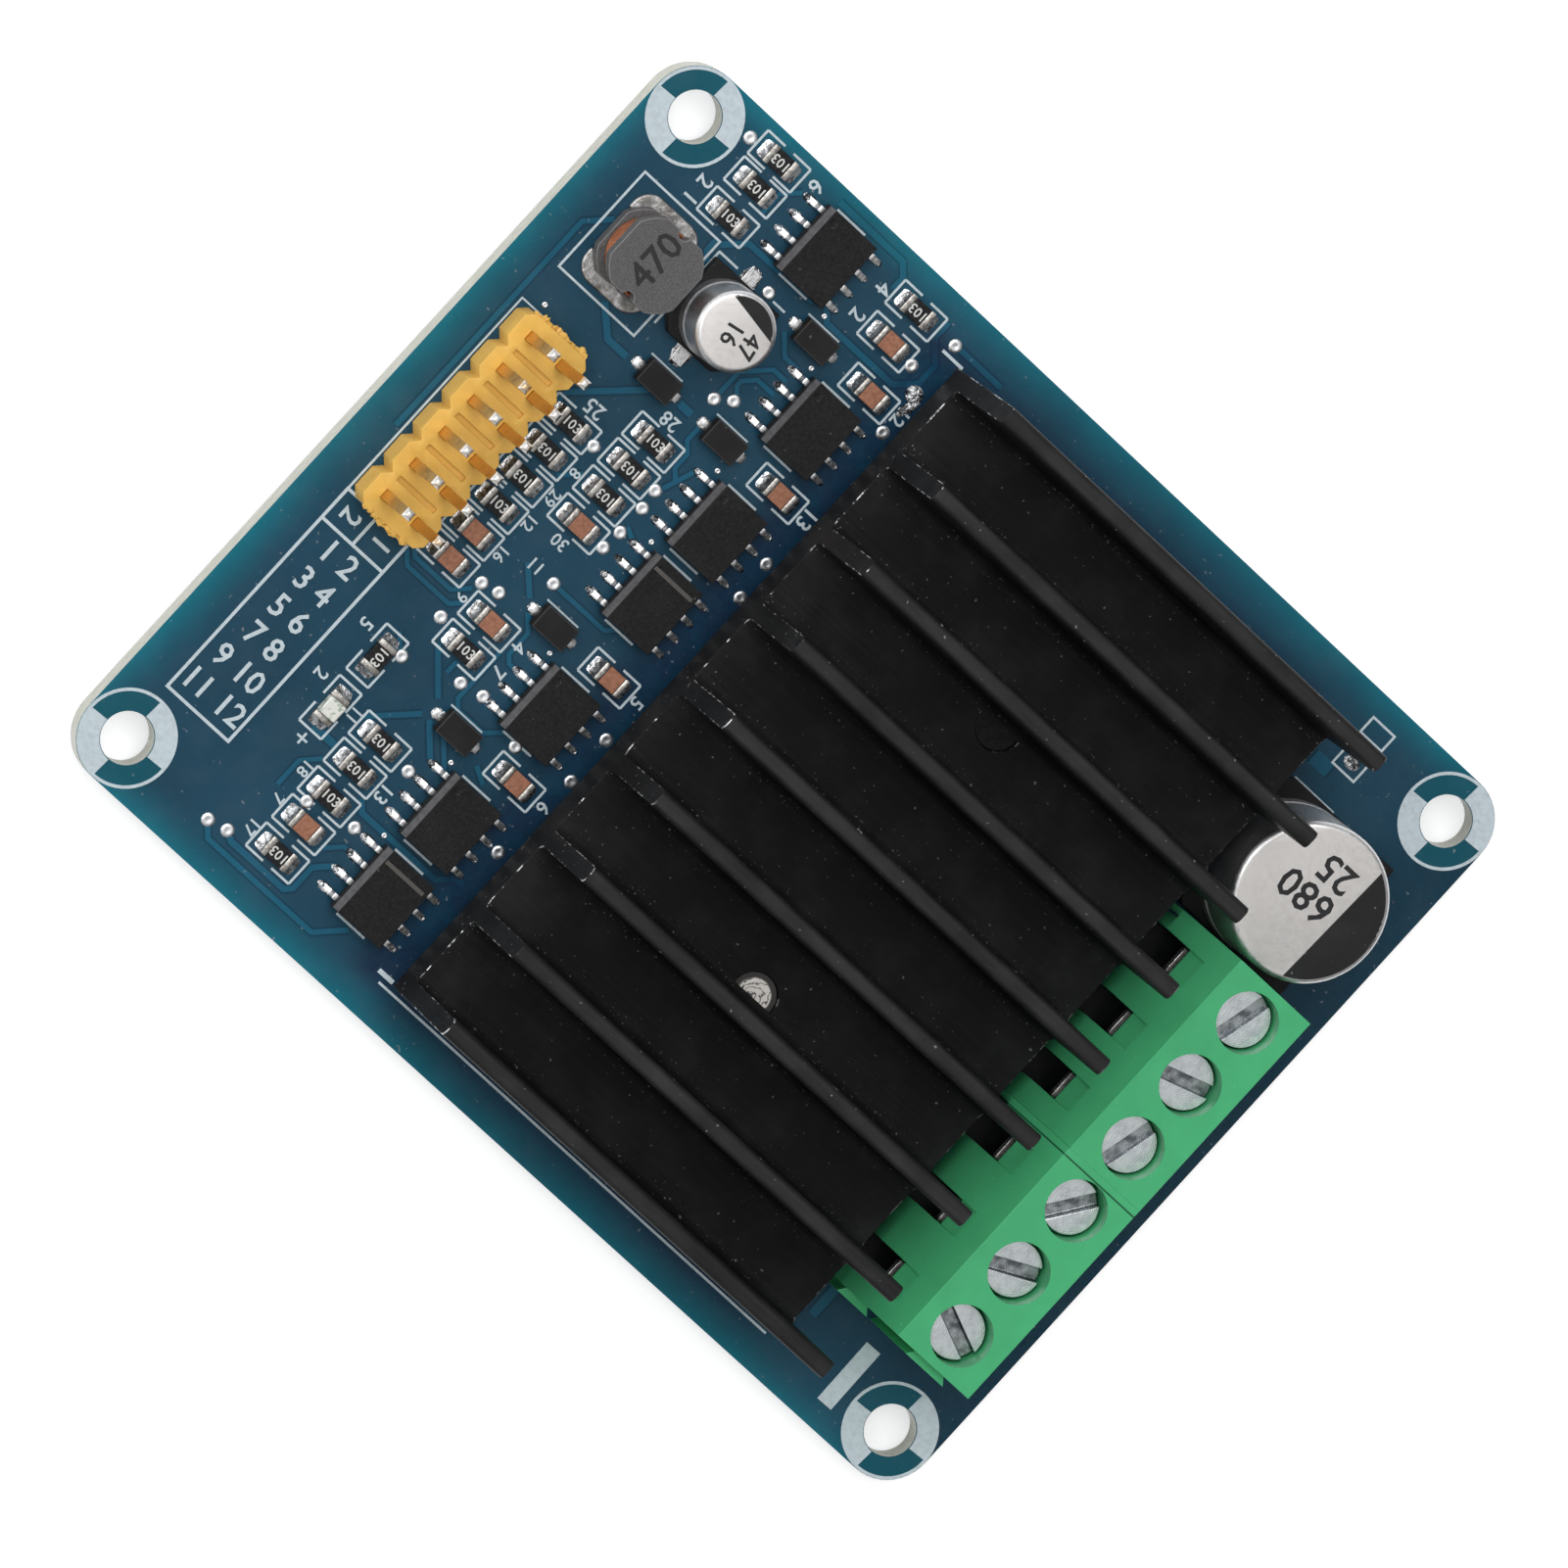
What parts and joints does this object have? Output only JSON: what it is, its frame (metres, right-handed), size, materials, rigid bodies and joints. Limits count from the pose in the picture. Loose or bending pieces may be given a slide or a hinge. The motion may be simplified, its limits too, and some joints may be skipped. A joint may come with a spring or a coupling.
{
  "type": "dc motor driver module",
  "caption": "Motor driver board with finned heatsink, screw-terminal blocks, pin header and surface-mount parts.",
  "frame": {"origin": "centre of the four mounting holes, on the board's underside", "axes": "+X from the pin-header end to the screw-terminal end, along the board's long side; +Z out of the component side; +Y completes the right-handed frame"},
  "size_m": [0.0712, 0.0562, 0.0199],
  "materials": {
    "blue_board": "gloss solder mask over glass laminate",
    "black_anodised": "black anodised extrusion",
    "fixing_screw_steel": "zinc plated",
    "grey_pad": "soft silicone pad",
    "black_moulding": "matt moulding compound",
    "tinned_metal": "tin plated",
    "green_moulding": "satin moulding",
    "zinc_screw": "zinc plated, worn bright",
    "nickel_clamp": "nickel plated",
    "yellow_moulding": "satin moulding",
    "gold_pins": "flash plated",
    "resistor_glaze": "glazed",
    "capacitor_ceramic": "matt ceramic",
    "indicator_lens": "cloudy clear resin",
    "can_aluminium": "satin",
    "black_base": "matt",
    "grey_ferrite": "fine grained",
    "copper_winding": "enamelled copper wire",
    "solder": "bright solder"
  },
  "bodies": {
    "board": {"chip_capacitor_ends": "tinned_metal", "chip_capacitors": "capacitor_ceramic", "chip_resistor_ends": "tinned_metal", "chip_resistors": "resistor_glaze", "circuit_board": "blue_board", "diode_1": "black_moulding", "diode_2": "black_moulding", "diode_3": "black_moulding", "diode_4": "black_moulding", "diode_5": "black_moulding", "diode_leads": "tinned_metal", "gate_driver_1": "black_moulding", "gate_driver_1_leads": "tinned_metal", "gate_driver_2": "black_moulding", "gate_driver_2_leads": "tinned_metal", "gate_driver_3": "black_moulding", "gate_driver_3_leads": "tinned_metal", "gate_driver_4": "black_moulding", "gate_driver_4_leads": "tinned_metal", "header_housing": "yellow_moulding", "header_pins": "gold_pins", "heatsink": "black_anodised", "heatsink_screws": "fixing_screw_steel", "indicator_light": "indicator_lens", "indicator_light_ends": "tinned_metal", "inductor_core": "grey_ferrite", "inductor_terminals": "tinned_metal", "inductor_winding": "copper_winding", "large_capacitor_base": "black_base", "large_capacitor_can": "can_aluminium", "large_capacitor_leads": "tinned_metal", "logic_chip_1": "black_moulding", "logic_chip_1_leads": "tinned_metal", "logic_chip_2": "black_moulding", "logic_chip_2_leads": "tinned_metal", "power_transistor_tabs": "tinned_metal", "power_transistors": "black_moulding", "regulator_chip": "black_moulding", "regulator_chip_leads": "tinned_metal", "small_capacitor_base": "black_base", "small_capacitor_can": "can_aluminium", "small_capacitor_leads": "tinned_metal", "solder_joints": "solder", "terminal_contacts": "nickel_clamp", "terminal_housing_1": "green_moulding", "terminal_housing_2": "green_moulding", "thermal_pad": "grey_pad"},
    "terminal_screw_1": {"terminal_screw_1": "zinc_screw"},
    "wire_clamp_1": {"wire_clamp_1": "nickel_clamp"},
    "terminal_screw_2": {"terminal_screw_2": "zinc_screw"},
    "wire_clamp_2": {"wire_clamp_2": "nickel_clamp"},
    "terminal_screw_3": {"terminal_screw_3": "zinc_screw"},
    "wire_clamp_3": {"wire_clamp_3": "nickel_clamp"},
    "terminal_screw_4": {"terminal_screw_4": "zinc_screw"},
    "wire_clamp_4": {"wire_clamp_4": "nickel_clamp"},
    "terminal_screw_5": {"terminal_screw_5": "zinc_screw"},
    "wire_clamp_5": {"wire_clamp_5": "nickel_clamp"},
    "terminal_screw_6": {"terminal_screw_6": "zinc_screw"},
    "wire_clamp_6": {"wire_clamp_6": "nickel_clamp"}
  },
  "joints": [
    {"name": "screw_turn_1", "type": "hinge", "parent": "board", "child": "terminal_screw_1", "pos_m": [0.02825, 0.00759, 0.009], "axis": [0, 0, -1], "range_deg": [-10, 1090]},
    {"name": "clamp_rise_1", "type": "slide", "parent": "board", "child": "wire_clamp_1", "axis": [0, 0, 1], "range_m": [0, 0.0015]},
    {"name": "screw_turn_2", "type": "hinge", "parent": "board", "child": "terminal_screw_2", "pos_m": [0.02825, 0.00251, 0.009], "axis": [0, 0, -1], "range_deg": [-10, 1090]},
    {"name": "clamp_rise_2", "type": "slide", "parent": "board", "child": "wire_clamp_2", "axis": [0, 0, 1], "range_m": [0, 0.0015]},
    {"name": "screw_turn_3", "type": "hinge", "parent": "board", "child": "terminal_screw_3", "pos_m": [0.02825, -0.00257, 0.009], "axis": [0, 0, -1], "range_deg": [-10, 1090]},
    {"name": "clamp_rise_3", "type": "slide", "parent": "board", "child": "wire_clamp_3", "axis": [0, 0, 1], "range_m": [0, 0.0015]},
    {"name": "screw_turn_4", "type": "hinge", "parent": "board", "child": "terminal_screw_4", "pos_m": [0.02825, -0.00765, 0.009], "axis": [0, 0, -1], "range_deg": [-10, 1090]},
    {"name": "clamp_rise_4", "type": "slide", "parent": "board", "child": "wire_clamp_4", "axis": [0, 0, 1], "range_m": [0, 0.0015]},
    {"name": "screw_turn_5", "type": "hinge", "parent": "board", "child": "terminal_screw_5", "pos_m": [0.02825, -0.01273, 0.009], "axis": [0, 0, -1], "range_deg": [-10, 1090]},
    {"name": "clamp_rise_5", "type": "slide", "parent": "board", "child": "wire_clamp_5", "axis": [0, 0, 1], "range_m": [0, 0.0015]},
    {"name": "screw_turn_6", "type": "hinge", "parent": "board", "child": "terminal_screw_6", "pos_m": [0.02825, -0.01781, 0.009], "axis": [0, 0, -1], "range_deg": [-10, 1090]},
    {"name": "clamp_rise_6", "type": "slide", "parent": "board", "child": "wire_clamp_6", "axis": [0, 0, 1], "range_m": [0, 0.0015]}
  ],
  "couplings": [
    {"joint": "screw_turn_1", "follows": "clamp_rise_1", "rad_per_m": 12566},
    {"joint": "screw_turn_2", "follows": "clamp_rise_2", "rad_per_m": 12566},
    {"joint": "screw_turn_3", "follows": "clamp_rise_3", "rad_per_m": 12566},
    {"joint": "screw_turn_4", "follows": "clamp_rise_4", "rad_per_m": 12566},
    {"joint": "screw_turn_5", "follows": "clamp_rise_5", "rad_per_m": 12566},
    {"joint": "screw_turn_6", "follows": "clamp_rise_6", "rad_per_m": 12566}
  ]
}
